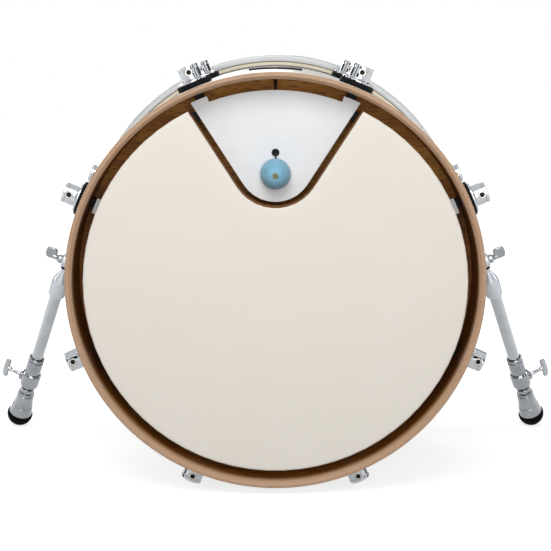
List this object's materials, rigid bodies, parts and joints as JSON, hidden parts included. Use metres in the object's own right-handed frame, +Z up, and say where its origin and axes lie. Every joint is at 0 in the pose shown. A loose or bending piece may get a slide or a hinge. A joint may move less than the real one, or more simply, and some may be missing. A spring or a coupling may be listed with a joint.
{
  "type": "bass drum",
  "caption": "Floor-standing bass drum shell on two folding telescopic spurs, open on the player side over a foam damping disc with an impact trigger plate, headed and hooped on the far side.",
  "frame": {"origin": "centre of the bounding box on the floor", "axes": "+X to the right of someone facing the open side, +Y away from them into the drum, +Z up; the drum axis rises 2.5 degrees towards +Y"},
  "size_m": [0.8898, 0.4682, 0.6034],
  "materials": {
    "ply": "satin",
    "wrap": "gloss",
    "board": "matte",
    "black_plastic": "matte",
    "foam": "matte",
    "plate": "satin",
    "blue_foam": "matte",
    "felt": "matte",
    "brass": "satin",
    "cable": "matte",
    "nickel": "polished",
    "chrome": "polished",
    "satin_steel": "satin",
    "hoop": "gloss",
    "flesh": "satin",
    "film": "satin",
    "rubber": "matte"
  },
  "bodies": {
    "drum": {"shell": "ply", "wrap": "wrap", "mounting_ring": "black_plastic", "baffle_board": "board", "damping_foam": "foam", "foam_plate": "plate", "trigger_plate": "plate", "trigger_cup": "blue_foam", "piezo_disc": "brass", "trigger_cone": "blue_foam", "cone_tip": "felt", "cable_grommet": "black_plastic", "trigger_cable": "cable", "jack_plate": "black_plastic", "output_jack": "nickel", "resonant_hoop": "hoop", "flesh_hoop": "flesh", "resonant_head": "film", "batter_lug_1": "chrome", "batter_lug_2": "chrome", "batter_lug_3": "chrome", "batter_lug_4": "chrome", "batter_lug_5": "chrome", "batter_lug_6": "chrome", "batter_lug_7": "chrome", "batter_lug_8": "chrome", "resonant_lug_1": "chrome", "resonant_lug_2": "chrome", "resonant_lug_3": "chrome", "resonant_lug_4": "chrome", "resonant_lug_5": "chrome", "resonant_lug_6": "chrome", "resonant_lug_7": "chrome", "resonant_lug_8": "chrome", "left_spur_bracket": "chrome", "right_spur_bracket": "chrome"},
    "left_spur": {"left_spur_head": "chrome", "left_leg_tube": "satin_steel", "left_clamp_collar": "satin_steel"},
    "left_wing": {"left_wing_bolt": "chrome"},
    "left_tee": {"left_tee_bolt": "chrome"},
    "left_rod": {"left_inner_rod": "satin_steel"},
    "left_foot": {"left_foot_cone": "satin_steel", "left_rubber_tip": "rubber"},
    "right_spur": {"right_spur_head": "chrome", "right_leg_tube": "satin_steel", "right_clamp_collar": "satin_steel"},
    "right_wing": {"right_wing_bolt": "chrome"},
    "right_tee": {"right_tee_bolt": "chrome"},
    "right_rod": {"right_inner_rod": "satin_steel"},
    "right_foot": {"right_foot_cone": "satin_steel", "right_rubber_tip": "rubber"},
    "tuning_rod_1": {"tension_rod_1": "chrome"},
    "tuning_rod_2": {"tension_rod_2": "chrome"},
    "tuning_rod_3": {"tension_rod_3": "chrome"},
    "tuning_rod_4": {"tension_rod_4": "chrome"},
    "tuning_rod_5": {"tension_rod_5": "chrome"},
    "tuning_rod_6": {"tension_rod_6": "chrome"},
    "tuning_rod_7": {"tension_rod_7": "chrome"},
    "tuning_rod_8": {"tension_rod_8": "chrome"}
  },
  "joints": [
    {"name": "left_spur_fold", "type": "hinge", "parent": "drum", "child": "left_spur", "pos_m": [-0.32, 0.07833, 0.2868], "axis": [-0.9372, -0.0152, 0.3484], "range_deg": [0, 115]},
    {"name": "left_wing_turn", "type": "hinge", "parent": "drum", "child": "left_wing", "pos_m": [-0.32, 0.07833, 0.2868], "axis": [-0.9372, -0.0152, 0.3484], "continuous": true},
    {"name": "left_tee_turn", "type": "hinge", "parent": "left_spur", "child": "left_tee", "pos_m": [-0.39787, 0.18222, 0.08187], "axis": [-0.8884, 0.173, 0.4253], "continuous": true},
    {"name": "left_leg_extend", "type": "slide", "parent": "left_spur", "child": "left_rod", "axis": [-0.321, 0.4283, -0.8447], "range_m": [0, 0.09]},
    {"name": "left_foot_turn", "type": "hinge", "parent": "left_rod", "child": "left_foot", "pos_m": [-0.32, 0.07833, 0.2868], "axis": [-0.321, 0.4283, -0.8447], "continuous": true},
    {"name": "right_spur_fold", "type": "hinge", "parent": "drum", "child": "right_spur", "pos_m": [0.32, 0.07833, 0.2868], "axis": [-0.9372, 0.0152, -0.3484], "range_deg": [0, 115]},
    {"name": "right_wing_turn", "type": "hinge", "parent": "drum", "child": "right_wing", "pos_m": [0.32, 0.07833, 0.2868], "axis": [0.9372, -0.0152, 0.3484], "continuous": true},
    {"name": "right_tee_turn", "type": "hinge", "parent": "right_spur", "child": "right_tee", "pos_m": [0.39787, 0.18222, 0.08187], "axis": [0.8884, 0.173, 0.4253], "continuous": true},
    {"name": "right_leg_extend", "type": "slide", "parent": "right_spur", "child": "right_rod", "axis": [0.321, 0.4283, -0.8447], "range_m": [0, 0.09]},
    {"name": "right_foot_turn", "type": "hinge", "parent": "right_rod", "child": "right_foot", "pos_m": [0.32, 0.07833, 0.2868], "axis": [0.321, 0.4283, -0.8447], "continuous": true},
    {"name": "tension_rod_1_turn", "type": "hinge", "parent": "drum", "child": "tuning_rod_1", "pos_m": [0.27772, 0.1726, 0.42007], "axis": [0, 0.999, 0.0436], "continuous": true},
    {"name": "tension_rod_2_turn", "type": "hinge", "parent": "drum", "child": "tuning_rod_2", "pos_m": [0.11503, 0.16551, 0.5826], "axis": [0, 0.999, 0.0436], "continuous": true},
    {"name": "tension_rod_3_turn", "type": "hinge", "parent": "drum", "child": "tuning_rod_3", "pos_m": [-0.11503, 0.16551, 0.5826], "axis": [0, 0.999, 0.0436], "continuous": true},
    {"name": "tension_rod_4_turn", "type": "hinge", "parent": "drum", "child": "tuning_rod_4", "pos_m": [-0.27772, 0.1726, 0.42007], "axis": [0, 0.999, 0.0436], "continuous": true},
    {"name": "tension_rod_5_turn", "type": "hinge", "parent": "drum", "child": "tuning_rod_5", "pos_m": [-0.27772, 0.18264, 0.19022], "axis": [0, 0.999, 0.0436], "continuous": true},
    {"name": "tension_rod_6_turn", "type": "hinge", "parent": "drum", "child": "tuning_rod_6", "pos_m": [-0.11503, 0.18973, 0.02769], "axis": [0, 0.999, 0.0436], "continuous": true},
    {"name": "tension_rod_7_turn", "type": "hinge", "parent": "drum", "child": "tuning_rod_7", "pos_m": [0.11503, 0.18973, 0.02769], "axis": [0, 0.999, 0.0436], "continuous": true},
    {"name": "tension_rod_8_turn", "type": "hinge", "parent": "drum", "child": "tuning_rod_8", "pos_m": [0.27772, 0.18264, 0.19022], "axis": [0, 0.999, 0.0436], "continuous": true}
  ]
}
